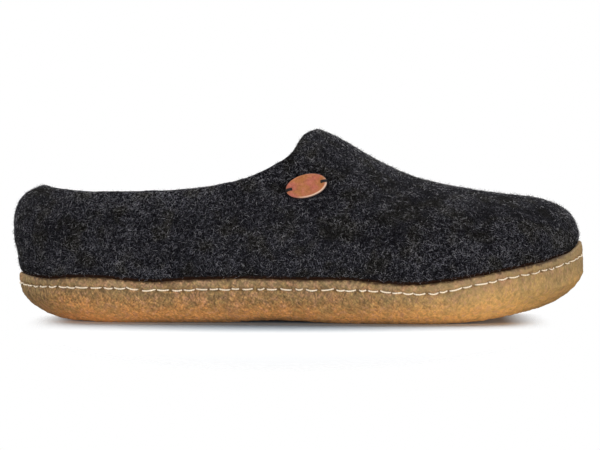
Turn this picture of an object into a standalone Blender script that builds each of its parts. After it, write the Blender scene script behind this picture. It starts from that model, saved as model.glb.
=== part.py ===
"""House slipper for the right foot: a seamless wool-felt upper that stands in a crepe-rubber cup sole,
with a felt insole and an oval leather tag on the outer side.

Metres, +Z up, +X towards the toe, -Y towards the outer (lateral) side, the floor at Z = 0.
Shapes are worked out with X counted from the back of the heel. An empty then carries every piece, so that
the origin lies on the floor under the middle of the slipper.
"""

import math
from collections import namedtuple

import bmesh
import bpy
import numpy as np
from mathutils import Vector

# Driving dimensions
LENGTH = 0.2844
BALL_WIDTH = 0.1015
INSTEP_HEIGHT = 0.0939
HEEL_HEIGHT = 0.0661
RIM_HEIGHT = 0.0213
SOLE_THICKNESS = 0.012
FELT = 0.004
RIM_THICKNESS = 0.0026
INSOLE_THICKNESS = 0.005
GAP = 0.0003

# The upper's heel overhangs the sole, its toe stands back from the sole's, and its sides are narrower
SOLE_HEEL = 0.0030
UPPER_TOE_SETBACK = 0.0008
UPPER_WIDTH_SHARE = 0.985
SOLE_LENGTH = LENGTH - SOLE_HEEL
UPPER_LENGTH = LENGTH - UPPER_TOE_SETBACK

# Plan of the sole: place along its length, then the reach to each side, as a share of the ball width
Station = namedtuple("Station", "along lateral medial")
SOLE_PLAN = (
    Station(along=0.030, lateral=0.224, medial=0.222),
    Station(along=0.085, lateral=0.320, medial=0.314),
    Station(along=0.170, lateral=0.363, medial=0.350),
    Station(along=0.285, lateral=0.376, medial=0.349),
    Station(along=0.400, lateral=0.393, medial=0.345),
    Station(along=0.510, lateral=0.433, medial=0.373),
    Station(along=0.620, lateral=0.477, medial=0.440),
    Station(along=0.710, lateral=0.497, medial=0.491),
    Station(along=0.800, lateral=0.474, medial=0.503),
    Station(along=0.880, lateral=0.395, medial=0.456),
    Station(along=0.945, lateral=0.273, medial=0.370),
    Station(along=0.985, lateral=0.121, medial=0.240),
)
TOE_SHIFT = 0.006

# Side view of the sole: flat at heel and forefoot, lifted at both ends and in the arch.
# A spring is the lift over the square of the distance past the flat.
HEEL_FLAT = (0.210 * LENGTH, 0.350 * LENGTH)
FOREFOOT_FLAT = (0.580 * LENGTH, 0.714 * LENGTH)
ARCH_LIFT = 0.0019
HEEL_SPRING = 0.27 / LENGTH
TOE_SPRING = 0.57 / LENGTH

# Height of the sole's rim along its length, as a share of the rim height
RimPoint = namedtuple("RimPoint", "along height")
RIM_LINE = (
    RimPoint(along=0.00, height=1.035),
    RimPoint(along=0.12, height=1.035),
    RimPoint(along=0.26, height=1.000),
    RimPoint(along=0.40, height=1.025),
    RimPoint(along=0.56, height=1.020),
    RimPoint(along=0.67, height=0.950),
    RimPoint(along=0.75, height=1.015),
    RimPoint(along=0.81, height=1.135),
    RimPoint(along=0.91, height=1.410),
    RimPoint(along=1.00, height=1.730),
)

# The tread rolls up into the side on a superellipse, widest run at the heel
ROLL_POWER = 1.5
SIDE_ROLL = 0.010
HEEL_ROLL = 0.020
TOE_ROLL = 0.011
HEEL_ROLL_END = 0.19 * LENGTH
TOE_ROLL_START = 0.79 * LENGTH
HEEL_FLARE = 0.0025
HEEL_FLARE_END = 0.105 * LENGTH

# Side of the sole above the rolled edge: depth below the rim's top, and how far it lies inside the outline
SideRow = namedtuple("SideRow", "below inset flare")
SIDE_ROWS = (
    SideRow(below=0.0072, inset=0.0000, flare=1.0),
    SideRow(below=0.0060, inset=0.0001, flare=0.5),
    SideRow(below=0.0047, inset=0.0007, flare=0.2),
    SideRow(below=0.0034, inset=0.0003, flare=0.0),
    SideRow(below=0.0008, inset=0.0007, flare=0.0),
    SideRow(below=0.0000, inset=0.0015, flare=0.0),
    SideRow(below=0.0002, inset=RIM_THICKNESS, flare=0.0),
)

# Sections of the last: crown height as a share of the instep height, and the fullness of the arch
# (2 is an ellipse, more is boxier). Behind the throat the crown is that of the ankle above the collar.
Section = namedtuple("Section", "along crown fullness")
LAST = (
    Section(along=0.000, crown=0.690, fullness=2.30),
    Section(along=0.057, crown=0.716, fullness=2.30),
    Section(along=0.114, crown=0.808, fullness=2.30),
    Section(along=0.185, crown=0.923, fullness=2.30),
    Section(along=0.284, crown=1.011, fullness=2.25),
    Section(along=0.391, crown=1.055, fullness=2.25),
    Section(along=0.467, crown=1.048, fullness=2.30),
    Section(along=0.531, crown=1.009, fullness=2.35),
    Section(along=0.570, crown=0.970, fullness=2.25),
    Section(along=0.608, crown=0.902, fullness=2.15),
    Section(along=0.646, crown=0.833, fullness=2.12),
    Section(along=0.690, crown=0.769, fullness=2.12),
    Section(along=0.764, crown=0.705, fullness=2.15),
    Section(along=0.846, crown=0.675, fullness=2.20),
    Section(along=0.937, crown=0.656, fullness=2.25),
    Section(along=1.000, crown=0.646, fullness=2.25),
)

# The crown closes down over toe and heel on a superellipse that starts this far from the end
HEEL_CAP_POWER = 2.5
HEEL_CAP_RUN = 0.060 * LENGTH
HEEL_CAP_FOOT = 0.708 * HEEL_HEIGHT
TOE_CAP_POWER = 2.3
TOE_CAP_RUN = 0.111 * LENGTH
TOE_CAP_FOOT = 0.389 * INSTEP_HEIGHT

# Edge of the collar in the side view, as a share of the heel height
CollarPoint = namedtuple("CollarPoint", "along height")
COLLAR = (
    CollarPoint(along=0.040, height=1.029),
    CollarPoint(along=0.078, height=0.992),
    CollarPoint(along=0.123, height=0.973),
    CollarPoint(along=0.194, height=0.968),
    CollarPoint(along=0.263, height=0.970),
    CollarPoint(along=0.332, height=0.998),
    CollarPoint(along=0.401, height=1.054),
    CollarPoint(along=0.436, height=1.117),
    CollarPoint(along=0.470, height=1.198),
    CollarPoint(along=0.492, height=1.278),
    CollarPoint(along=0.503, height=1.360),
    CollarPoint(along=0.519, height=1.415),
    CollarPoint(along=0.542, height=1.439),
)

# Above the rim the felt swells from inside the rim to the last, part of it at once and part slowly
TUCK_SHORT = 0.003
TUCK_LONG = 0.022
TUCK_LONG_SHARE = 0.45

# Leather tag on the outer side
TAG_LENGTH = 0.0203
TAG_WIDTH = 0.0116
TAG_THICKNESS = 0.0016
TAG_ALONG = 0.513 * LENGTH
TAG_HEIGHT = 0.706 * INSTEP_HEIGHT
TAG_TILT = math.radians(15.0)

# Mesh density
COLUMNS = 72
UPPER_ROWS = 15
HEEL_ROW_BIAS = 1.15
TOE_ROW_BIAS = 2.0
COLUMN_LEAD = 0.38
ROLL_STEPS = 6
CENTRE_SHARES = (0.80, 0.40, 0.0)
TAG_COLUMNS = 28
TAG_RINGS = 3
DENSE = 400

Finish = namedtuple("Finish", "colour roughness")
FELT_FINISH = Finish(colour=(0.020, 0.020, 0.023), roughness=0.95)
INSOLE_FINISH = Finish(colour=(0.085, 0.080, 0.076), roughness=0.95)
CREPE_FINISH = Finish(colour=(0.36, 0.175, 0.062), roughness=0.75)
LEATHER_FINISH = Finish(colour=(0.27, 0.085, 0.042), roughness=0.50)


def ease(share):
    """0 to 1 with a smooth start and end."""
    share = np.clip(share, 0.0, 1.0)
    return share * share * (3.0 - 2.0 * share)


def spline(knots, values, at):
    """Natural cubic spline through the knots, read at any places."""
    knots = np.asarray(knots, float)
    values = np.asarray(values, float)
    at = np.asarray(at, float)
    step = np.diff(knots)
    slope = np.diff(values) / step
    system = np.eye(len(knots))
    bend = np.zeros(len(knots))
    for i in range(1, len(knots) - 1):
        system[i, i - 1 : i + 2] = step[i - 1], 2.0 * (step[i - 1] + step[i]), step[i]
        bend[i] = 6.0 * (slope[i] - slope[i - 1])
    bend = np.linalg.solve(system, bend)
    i = np.clip(np.searchsorted(knots, at) - 1, 0, len(step) - 1)
    since = at - knots[i]
    until = knots[i + 1] - at
    curved = (bend[i] * until**3 + bend[i + 1] * since**3) / (6.0 * step[i])
    left = (values[i] / step[i] - bend[i] * step[i] / 6.0) * until
    right = (values[i + 1] / step[i] - bend[i + 1] * step[i] / 6.0) * since
    return curved + left + right


def read(table, name, along):
    """A column of a table, read between its rows."""
    rows = [row.along for row in table]
    return spline(rows, [getattr(row, name) for row in table], along)


def lengths_along(points):
    """Distance from the first point to each point of a line."""
    steps = np.linalg.norm(np.diff(points, axis=0), axis=1)
    return np.concatenate([[0.0], np.cumsum(steps)])


def resample(points, shares):
    """Points at these shares of a line's length."""
    run = lengths_along(points)
    at = np.asarray(shares) * run[-1]
    return np.stack([np.interp(at, run, points[:, axis]) for axis in range(points.shape[1])], axis=1)


def plan_halves():
    """Lateral and medial halves of the sole's outline, each a dense line from heel to toe."""
    heel = (SOLE_HEEL, 0.0)
    toe = (LENGTH, TOE_SHIFT)
    lateral = [(SOLE_HEEL + s.along * SOLE_LENGTH, -s.lateral * BALL_WIDTH) for s in SOLE_PLAN]
    medial = [(SOLE_HEEL + s.along * SOLE_LENGTH, s.medial * BALL_WIDTH) for s in SOLE_PLAN]
    once = [heel, *lateral, toe, *reversed(medial)]
    wrap = 4
    ring = np.array(once[-wrap:] + once + once[: wrap + 1])
    run = lengths_along(ring)
    first = run[wrap]
    middle = run[wrap + len(lateral) + 1]
    last = run[wrap + len(once)]
    halves = []
    for start, end in ((first, middle), (last, middle)):
        at = np.linspace(start, end, DENSE)
        halves.append(np.stack([spline(run, ring[:, axis], at) for axis in range(2)], axis=1))
    return halves


LATERAL_HALF, MEDIAL_HALF = plan_halves()


def column_shares(lead):
    """Shares of a half outline at which the columns stand. A lead above 0 crowds them towards the end."""
    even = np.linspace(0.0, 1.0, COLUMNS // 2 + 1)
    return even + lead * even * (1.0 - even)


def around(lateral, medial, shares):
    """Columns once around: heel, lateral side, toe, medial side."""
    there = resample(lateral, shares)
    back = resample(medial, shares)
    return np.concatenate([there, back[-2:0:-1]])


SOLE_EDGE = around(LATERAL_HALF, MEDIAL_HALF, column_shares(-COLUMN_LEAD))


def outward(ring):
    """Outward direction in plan at each column of a ring that runs anticlockwise."""
    along = np.roll(ring, -1, axis=0) - np.roll(ring, 1, axis=0)
    along /= np.linalg.norm(along, axis=1)[:, None]
    return np.stack([along[:, 1], -along[:, 0]], axis=1)


SOLE_OUTWARD = outward(SOLE_EDGE)
EDGE_X = SOLE_EDGE[:, 0]


def sole_ring(inset):
    """The sole's outline, drawn in by a distance that may differ from column to column."""
    return SOLE_EDGE - SOLE_OUTWARD * np.broadcast_to(inset, len(SOLE_EDGE))[:, None]


def tread_height(x):
    """Underside of the sole along its length."""
    heel = HEEL_SPRING * np.clip(HEEL_FLAT[0] - x, 0.0, None) ** 2
    toe = TOE_SPRING * np.clip(x - FOREFOOT_FLAT[1], 0.0, None) ** 2
    waist = np.clip((x - HEEL_FLAT[1]) / (FOREFOOT_FLAT[0] - HEEL_FLAT[1]), 0.0, 1.0)
    return heel + toe + ARCH_LIFT * np.sin(math.pi * waist) ** 2


def floor_height(x):
    """Top of the sole inside its rim."""
    return tread_height(x) + SOLE_THICKNESS


def rim_height(x):
    """Top of the sole's rim."""
    return RIM_HEIGHT * read(RIM_LINE, "height", (x - SOLE_HEEL) / SOLE_LENGTH)


def roll_run(x):
    """How far the rolled edge reaches in under the sole."""
    heel = (HEEL_ROLL - SIDE_ROLL) * ease((HEEL_ROLL_END - x) / HEEL_ROLL_END)
    toe = (TOE_ROLL - SIDE_ROLL) * ease((x - TOE_ROLL_START) / (LENGTH - TOE_ROLL_START))
    return SIDE_ROLL + heel + toe


def heel_flare(x):
    """How far the back of the heel leans in below the stitching."""
    return HEEL_FLARE * ease((HEEL_FLARE_END - x) / HEEL_FLARE_END)


def cup_inset(height_share):
    """Inner wall of the cup, from the footbed (0) to the rim (1)."""
    return RIM_THICKNESS + heel_flare(EDGE_X) * (1.0 - height_share)


def lifted(ring, height):
    """A plan ring with its heights, as points in space."""
    return np.column_stack([ring, np.broadcast_to(height, len(ring))])


def towards_centre(ring, share):
    """A ring drawn in towards the sole's middle line."""
    first = SOLE_HEEL + 0.13 * SOLE_LENGTH
    last = SOLE_HEEL + 0.87 * SOLE_LENGTH
    middle_x = np.clip(ring[:, 0], first, last)
    middle = np.column_stack([middle_x, TOE_SHIFT * (middle_x / LENGTH) ** 2])
    return ring + (middle - ring) * share


def place_on_sole(x):
    """Place along the sole that belongs to a place along the upper."""
    return SOLE_HEEL + x * SOLE_LENGTH / UPPER_LENGTH


def half_width(x, side):
    """Reach of the upper's plan from its ridge line to the lateral (-1) or medial (1) side."""
    half = LATERAL_HALF if side < 0 else MEDIAL_HALF
    edge = np.interp(place_on_sole(x), half[:, 0], half[:, 1]) * UPPER_WIDTH_SHARE
    return np.maximum(np.abs(edge - ridge_line(x)), 1e-6)


def ridge_line(x):
    """Sideways place of the upper's crown, which follows the toe inwards."""
    return TOE_SHIFT * UPPER_WIDTH_SHARE * (x / UPPER_LENGTH) ** 2


def cap(distance, run, power):
    """Closing of the crown at a distance from its end, 0 at the end and 1 past the run."""
    inside = np.clip(1.0 - distance / run, 0.0, 1.0)
    return (1.0 - inside**power) ** (1.0 / power)


def crown_height(x):
    """Top line of the last in the side view."""
    top = INSTEP_HEIGHT * read(LAST, "crown", x / UPPER_LENGTH)
    heel = cap(x, HEEL_CAP_RUN, HEEL_CAP_POWER)
    toe = cap(UPPER_LENGTH - x, TOE_CAP_RUN, TOE_CAP_POWER)
    closed_heel = HEEL_CAP_FOOT + (top - HEEL_CAP_FOOT) * heel
    return np.where(x < UPPER_LENGTH / 2, closed_heel, TOE_CAP_FOOT + (top - TOE_CAP_FOOT) * toe)


def collar_height(x):
    """Edge of the collar in the side view."""
    return HEEL_HEIGHT * read(COLLAR, "height", x / UPPER_LENGTH)


def upper_height(x, y):
    """Height of the last above a point of its plan."""
    side = np.where(y < ridge_line(x), -1, 1)
    reach = np.where(side < 0, half_width(x, -1), half_width(x, 1))
    out = np.clip(np.abs(y - ridge_line(x)) / reach, 0.0, 1.0)
    fullness = read(LAST, "fullness", x / UPPER_LENGTH)
    base = rim_height(place_on_sole(x))
    arch = (1.0 - out**fullness) ** (1.0 / fullness)
    return base + np.maximum(crown_height(x) - base, 0.0) * arch


def side_reach(x, height, side):
    """Sideways place of the last at a height, on the lateral (-1) or medial (1) side."""
    base = rim_height(place_on_sole(x))
    fullness = read(LAST, "fullness", x / UPPER_LENGTH)
    rise = np.clip((height - base) / (crown_height(x) - base), 0.0, 1.0)
    return ridge_line(x) + side * half_width(x, side) * (1.0 - rise**fullness) ** (1.0 / fullness)


def collar_half(side):
    """Plan of the collar on one side, from the back of the heel to the throat."""
    x = np.linspace(0.0, UPPER_LENGTH, 40 * DENSE)
    below = collar_height(x) < crown_height(x)
    inner = x[(x > COLLAR[0].along * UPPER_LENGTH) & (x < COLLAR[-1].along * UPPER_LENGTH) & below]
    return np.stack([inner, side_reach(inner, collar_height(inner), side)], axis=1)


def tuck(rise):
    """Share of the way back into the rim at a height above it."""
    short = (1.0 - TUCK_LONG_SHARE) * (1.0 - ease(rise / TUCK_SHORT))
    return short + TUCK_LONG_SHARE * (1.0 - ease(rise / TUCK_LONG))


def upper_rings():
    """Rings of the upper's outer face, from the footbed to the edge of the collar."""
    foot = sole_ring(cup_inset(1.0) + GAP)
    edge = (SOLE_EDGE - (SOLE_HEEL, 0.0)) * (UPPER_LENGTH / SOLE_LENGTH, UPPER_WIDTH_SHARE)
    collar = around(collar_half(-1), collar_half(1), column_shares(COLUMN_LEAD))
    bias = HEEL_ROW_BIAS + (TOE_ROW_BIAS - HEEL_ROW_BIAS) * EDGE_X / LENGTH
    columns = []
    for k in range(COLUMNS):
        inwards = np.linspace(0.0, 1.0, DENSE)[:, None] ** 3
        plan = edge[k] + (collar[k] - edge[k]) * inwards
        height = upper_height(plan[:, 0], plan[:, 1])
        rim = rim_height(EDGE_X[k])
        height[0] = rim
        height = np.maximum(height, rim)
        plan = plan + (foot[k] - edge[k]) * tuck(height - rim)[:, None]
        shares = np.linspace(0.0, 1.0, UPPER_ROWS) ** bias[k]
        columns.append(resample(np.column_stack([plan, height]), shares))
    above = np.stack(columns, axis=1)
    low_share = GAP / (RIM_HEIGHT - SOLE_THICKNESS)
    bottom = sole_ring(cup_inset(low_share) + GAP)
    return [lifted(bottom, floor_height(bottom[:, 0]) + GAP), *above]


def tread_rings():
    """Underside of the sole from the middle out, and its rolled edge up to the side."""
    run = roll_run(EDGE_X)
    flare = heel_flare(EDGE_X)
    tall = rim_height(EDGE_X) - tread_height(EDGE_X) - SIDE_ROWS[0].below
    start = sole_ring(run + flare)
    rings = []
    for share in CENTRE_SHARES:
        ring = towards_centre(start, share)
        rings.append(lifted(ring, tread_height(ring[:, 0])))
    for step in range(1, ROLL_STEPS):
        angle = 0.5 * math.pi * step / ROLL_STEPS
        ring = sole_ring(flare + run * (1.0 - math.sin(angle) ** (2.0 / ROLL_POWER)))
        rise = tall * (1.0 - math.cos(angle) ** (2.0 / ROLL_POWER))
        rings.append(lifted(ring, tread_height(ring[:, 0]) + rise))
    return rings


def cup_rings():
    """Side of the sole, over the rim and down to the middle of the footbed."""
    rings = []
    for row in SIDE_ROWS:
        ring = sole_ring(row.inset + row.flare * heel_flare(EDGE_X))
        rings.append(lifted(ring, rim_height(EDGE_X) - row.below))
    corner = sole_ring(cup_inset(0.0))
    for share in reversed(CENTRE_SHARES):
        ring = towards_centre(corner, share)
        rings.append(lifted(ring, floor_height(ring[:, 0])))
    return rings


def insole_rings():
    """Insole from the middle of its underside, round its edge, to the middle of its top."""
    margin = cup_inset(0.0) + FELT + 4.0 * GAP
    rings = []
    for share in CENTRE_SHARES:
        ring = towards_centre(sole_ring(margin), share)
        rings.append(lifted(ring, floor_height(ring[:, 0]) + GAP))
    soft = 0.25 * INSOLE_THICKNESS
    shoulder = sole_ring(margin)
    rings.append(lifted(shoulder, floor_height(shoulder[:, 0]) + GAP + INSOLE_THICKNESS - soft))
    for share in reversed(CENTRE_SHARES):
        ring = towards_centre(sole_ring(margin + soft), share)
        rings.append(lifted(ring, floor_height(ring[:, 0]) + GAP + INSOLE_THICKNESS))
    return rings


def tag_rings():
    """Rings of the tag's inner face, an oval laid on the outer side of the upper."""
    step = 1e-4
    y = side_reach(TAG_ALONG, TAG_HEIGHT, -1)
    lean = (side_reach(TAG_ALONG, TAG_HEIGHT + step, -1) - y) / step
    stretch = 1.0 / math.hypot(1.0, lean)
    rings = []
    for n in range(1, TAG_RINGS + 1):
        turn = np.linspace(0.0, 2.0 * math.pi, TAG_COLUMNS, endpoint=False)
        u = 0.5 * TAG_LENGTH * np.cos(turn) * n / TAG_RINGS
        v = 0.5 * TAG_WIDTH * np.sin(turn) * n / TAG_RINGS
        x = TAG_ALONG + u * math.cos(TAG_TILT) - v * math.sin(TAG_TILT)
        z = TAG_HEIGHT + (u * math.sin(TAG_TILT) + v * math.cos(TAG_TILT)) * stretch
        y = side_reach(x, z, -1)
        slope_x = (side_reach(x + step, z, -1) - y) / step
        slope_z = (side_reach(x, z + step, -1) - y) / step
        normal = np.column_stack([slope_x, -np.ones(TAG_COLUMNS), slope_z])
        normal /= np.linalg.norm(normal, axis=1)[:, None]
        rings.append(np.column_stack([x, y, z]) + normal * GAP)
    return rings


def close_across(bm, ring):
    """Fills a ring with strips from its lateral to its medial columns."""
    half = len(ring) // 2
    bm.faces.new((ring[0], ring[1], ring[-1]))
    for k in range(1, half - 1):
        bm.faces.new((ring[k], ring[k + 1], ring[-k - 1], ring[-k]))
    bm.faces.new((ring[half - 1], ring[half], ring[half + 1]))


def loft(rings, close_first=False, close_last=False):
    """A mesh through rings of equal count, open or filled at its two ends."""
    bm = bmesh.new()
    made = [[bm.verts.new(point) for point in ring] for ring in rings]
    for lower, upper in zip(made, made[1:]):
        for k in range(len(lower)):
            after = (k + 1) % len(lower)
            bm.faces.new((lower[k], lower[after], upper[after], upper[k]))
    if close_first:
        close_across(bm, made[0])
    if close_last:
        close_across(bm, made[-1])
    bmesh.ops.recalc_face_normals(bm, faces=bm.faces)
    mesh = bpy.data.meshes.new("loft")
    bm.to_mesh(mesh)
    bm.free()
    mesh.shade_smooth()
    return mesh


def make_material(name, finish):
    material = bpy.data.materials.new(name)
    material.use_nodes = True
    shader = material.node_tree.nodes["Principled BSDF"]
    shader.inputs["Base Color"].default_value = (*finish.colour, 1.0)
    shader.inputs["Roughness"].default_value = finish.roughness
    shader.inputs["Metallic"].default_value = 0.0
    return material


def add_piece(name, mesh, material_name, finish, collection, carrier):
    mesh.name = name
    mesh.materials.append(make_material(material_name, finish))
    piece = bpy.data.objects.new(name, mesh)
    collection.objects.link(piece)
    piece.parent = carrier
    return piece


def add_wall(piece, thickness, offset):
    """Gives an open surface its wall, to its inner (-1) or outer (1) side."""
    wall = piece.modifiers.new("wall", "SOLIDIFY")
    wall.thickness = thickness
    wall.offset = offset
    wall.use_even_offset = True
    wall.use_rim = True


def round_edges(piece, width):
    """Softens the cut edges of a wall."""
    soft = piece.modifiers.new("soft_edge", "BEVEL")
    soft.width = width
    soft.segments = 2
    soft.limit_method = "ANGLE"
    soft.angle_limit = math.radians(65.0)


def faces_point_out(mesh, centre):
    """Turns an open surface so that its faces look away from a point."""
    bm = bmesh.new()
    bm.from_mesh(mesh)
    facing = sum((face.calc_center_median() - centre).dot(face.normal) for face in bm.faces)
    if facing < 0:
        bmesh.ops.reverse_faces(bm, faces=bm.faces)
    bm.to_mesh(mesh)
    bm.free()


def make_upper(collection, carrier):
    mesh = loft(upper_rings())
    faces_point_out(mesh, Vector((0.5 * LENGTH, 0.0, 0.5 * HEEL_HEIGHT)))
    upper = add_piece("upper", mesh, "felt", FELT_FINISH, collection, carrier)
    add_wall(upper, FELT, -1.0)
    round_edges(upper, 0.3 * FELT)


def make_outsole(collection, carrier):
    mesh = loft(tread_rings() + cup_rings(), close_first=True, close_last=True)
    add_piece("outsole", mesh, "crepe", CREPE_FINISH, collection, carrier)


def make_insole(collection, carrier):
    mesh = loft(insole_rings(), close_first=True, close_last=True)
    add_piece("insole", mesh, "insole_felt", INSOLE_FINISH, collection, carrier)


def make_tag(collection, carrier):
    mesh = loft(tag_rings(), close_first=True)
    faces_point_out(mesh, Vector((TAG_ALONG, 0.0, 0.5 * TAG_HEIGHT)))
    tag = add_piece("leather_tag", mesh, "leather", LEATHER_FINISH, collection, carrier)
    add_wall(tag, TAG_THICKNESS, 1.0)
    round_edges(tag, 0.3 * TAG_THICKNESS)


def clear_scene():
    for item in list(bpy.data.objects):
        bpy.data.objects.remove(item, do_unlink=True)


def build():
    clear_scene()
    collection = bpy.data.collections.new("house_slipper")
    bpy.context.scene.collection.children.link(collection)
    carrier = bpy.data.objects.new("house_slipper", None)
    carrier.location = (-0.5 * LENGTH, -0.5 * (SOLE_EDGE[:, 1].min() + SOLE_EDGE[:, 1].max()), 0.0)
    collection.objects.link(carrier)
    make_outsole(collection, carrier)
    make_upper(collection, carrier)
    make_insole(collection, carrier)
    make_tag(collection, carrier)


build()
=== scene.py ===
"""Looks of the house slipper: heathered wool felt with real fibres, a grained crepe-rubber cup sole,
the running stitch round its rim, a felt insole and a leather tag, in soft studio light on a white floor.

Metres, +Z up, +X towards the toe, -Y towards the outer side, the floor at Z = 0.
"""

import math
from collections import namedtuple

import bmesh
import bpy
import numpy as np
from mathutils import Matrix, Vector, noise
from mathutils.bvhtree import BVHTree


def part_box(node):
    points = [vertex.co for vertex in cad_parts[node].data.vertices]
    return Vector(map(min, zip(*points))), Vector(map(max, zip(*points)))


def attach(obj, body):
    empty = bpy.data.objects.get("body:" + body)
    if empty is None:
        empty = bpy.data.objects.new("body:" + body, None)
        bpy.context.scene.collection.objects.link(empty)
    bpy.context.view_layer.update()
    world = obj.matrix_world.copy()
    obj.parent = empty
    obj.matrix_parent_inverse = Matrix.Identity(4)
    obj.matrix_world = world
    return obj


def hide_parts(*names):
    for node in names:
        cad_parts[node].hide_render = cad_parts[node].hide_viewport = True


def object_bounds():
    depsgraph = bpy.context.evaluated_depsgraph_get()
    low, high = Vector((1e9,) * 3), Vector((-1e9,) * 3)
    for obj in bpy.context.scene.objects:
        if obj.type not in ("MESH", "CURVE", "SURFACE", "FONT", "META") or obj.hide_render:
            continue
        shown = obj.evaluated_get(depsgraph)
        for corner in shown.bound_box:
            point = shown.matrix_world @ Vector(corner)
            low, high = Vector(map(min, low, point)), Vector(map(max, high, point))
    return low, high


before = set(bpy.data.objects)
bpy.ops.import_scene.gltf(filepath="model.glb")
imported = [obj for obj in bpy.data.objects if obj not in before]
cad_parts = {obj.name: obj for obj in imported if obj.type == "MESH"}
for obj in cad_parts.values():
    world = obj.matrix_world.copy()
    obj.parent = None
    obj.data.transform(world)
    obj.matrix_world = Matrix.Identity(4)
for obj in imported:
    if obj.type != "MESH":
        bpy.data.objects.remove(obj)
CAD_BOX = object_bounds()


def table(columns, *rows):
    """Rows of values under named columns."""
    row = namedtuple("Row", columns)
    return [row(*values) for values in rows]


# Sizes that the frame gives: X is counted from the back of the heel in the shape functions
HEEL_X = CAD_BOX[0].x
LENGTH = CAD_BOX[1].x - CAD_BOX[0].x
SOLE_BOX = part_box("outsole")

# Driving sizes of the sole
BALL_WIDTH = 0.1015
RIM_HEIGHT = 0.0213
SOLE_THICKNESS = 0.012
RIM_THICKNESS = 0.0026
SOLE_HEEL = 0.0030
SOLE_LENGTH = LENGTH - SOLE_HEEL
TOE_SHIFT = 0.006

# Where the sole's middle line starts and ends, as shares of its length
MIDDLE_LINE = (0.13, 0.87)

# Plan of the sole: place along its length, then the reach to each side, as a share of the ball width
SOLE_PLAN = table(
    "along lateral medial",
    (0.030, 0.224, 0.222),
    (0.085, 0.320, 0.314),
    (0.170, 0.363, 0.350),
    (0.285, 0.376, 0.349),
    (0.400, 0.393, 0.345),
    (0.510, 0.433, 0.373),
    (0.620, 0.477, 0.440),
    (0.710, 0.497, 0.491),
    (0.800, 0.474, 0.503),
    (0.880, 0.395, 0.456),
    (0.945, 0.273, 0.370),
    (0.985, 0.121, 0.240),
)

# Side view of the sole. A spring is the lift over the square of the distance past the flat.
HEEL_FLAT = (0.210 * LENGTH, 0.350 * LENGTH)
FOREFOOT_FLAT = (0.580 * LENGTH, 0.714 * LENGTH)
ARCH_LIFT = 0.0013
HEEL_SPRING = 0.27 / LENGTH
TOE_SPRING = 0.57 / LENGTH

# Height of the rim's top and of the stitching below it, as shares of the rim height
RIM_LINE = table(
    "along rim stitch",
    (0.000, 1.100, 0.850),
    (0.020, 1.060, 0.838),
    (0.048, 1.010, 0.832),
    (0.090, 1.035, 0.828),
    (0.135, 1.052, 0.820),
    (0.185, 1.010, 0.812),
    (0.240, 0.950, 0.770),
    (0.290, 0.990, 0.770),
    (0.345, 1.018, 0.790),
    (0.420, 1.035, 0.800),
    (0.500, 1.012, 0.795),
    (0.580, 1.015, 0.790),
    (0.655, 0.930, 0.745),
    (0.710, 0.935, 0.725),
    (0.755, 1.010, 0.790),
    (0.810, 1.130, 0.950),
    (0.860, 1.245, 1.070),
    (0.915, 1.385, 1.200),
    (0.955, 1.515, 1.315),
    (0.985, 1.670, 1.445),
    (1.000, 1.820, 1.510),
)

# Waves and crumbs of the rim's top: rise and length
RIM_WAVER = 0.00022
RIM_WAVER_LENGTH = 0.007
RIM_CRUMB = 0.00022
RIM_CRUMB_LENGTH = 0.0022

# The tread rolls up into the side on a superellipse, widest run at the heel
ROLL_POWER = 1.5
SIDE_ROLL = 0.010
HEEL_ROLL = 0.019
TOE_ROLL = 0.015
HEEL_ROLL_END = 0.19 * LENGTH
TOE_ROLL_START = 0.79 * LENGTH

# The heel leans in below the stitching and has a lip above it. The side reaches lower at heel and toe.
HEEL_FLARE = 0.0014
HEEL_LIP = 0.0009
HEEL_FLARE_END = 0.105 * LENGTH
HEEL_DEEPER = 0.20
TOE_DEEPER = 1.10

# Side of the sole above the rolled edge: depth below the rim's top, how far it lies inside the outline, and
# its share of the heel's flare
SIDE_ROWS = table(
    "below inset flare",
    (0.0072, 0.0000, 1.0),
    (0.0060, 0.0001, 0.5),
    (0.0034, 0.0003, 0.0),
    (0.0008, 0.0007, 0.0),
    (0.0000, 0.0015, 0.0),
    (0.0002, RIM_THICKNESS, 0.0),
)

# Groove that the stitches lie in, and the pits where they go through
GROOVE_DEPTH = 0.00035
GROOVE_WIDTH = 0.0011
PIT_DEPTH = 0.0007
PIT_WIDTH = 0.0007

# Short straight lines of a material's colour: their width, lean in degrees, strength and shift of the noise
STROKE = "size lean strength shift"

# Surface of the crepe: soft lumps, grain and upright streaks below the stitching
CREPE_LUMP = 0.0042
CREPE_LUMP_RISE = 0.00020
CREPE_GRAIN = 0.0018
CREPE_GRAIN_RISE = 0.00022
CREPE_GRAIN_SHIFT = 3.7
STREAK_WIDTH = 0.0010
STREAK_STRETCH = 0.20
STREAK_RISE = 0.00016
STREAK_SHIFT = 9.1
STREAK_TOP = 0.005
STREAK_END = 0.013
STREAK_FADE = (0.002, 0.005)

# Dark upright streaks in the crepe's colour, and short strokes where the rubber was pulled
CREPE_STREAKS = table(STROKE, (STREAK_WIDTH, 8.0, 0.70, 4.1), (STREAK_WIDTH, -22.0, 0.70, 10.6))
CREPE_STROKES = table(
    STROKE,
    (0.00080, 40.0, 0.20, 3.3),
    (0.00080, -36.0, 0.20, 7.9),
    (0.00075, 70.0, 0.15, 11.2),
    (0.00075, 8.0, 0.15, 15.6),
)
CREPE_STROKE_STRETCH = 0.20

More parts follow.
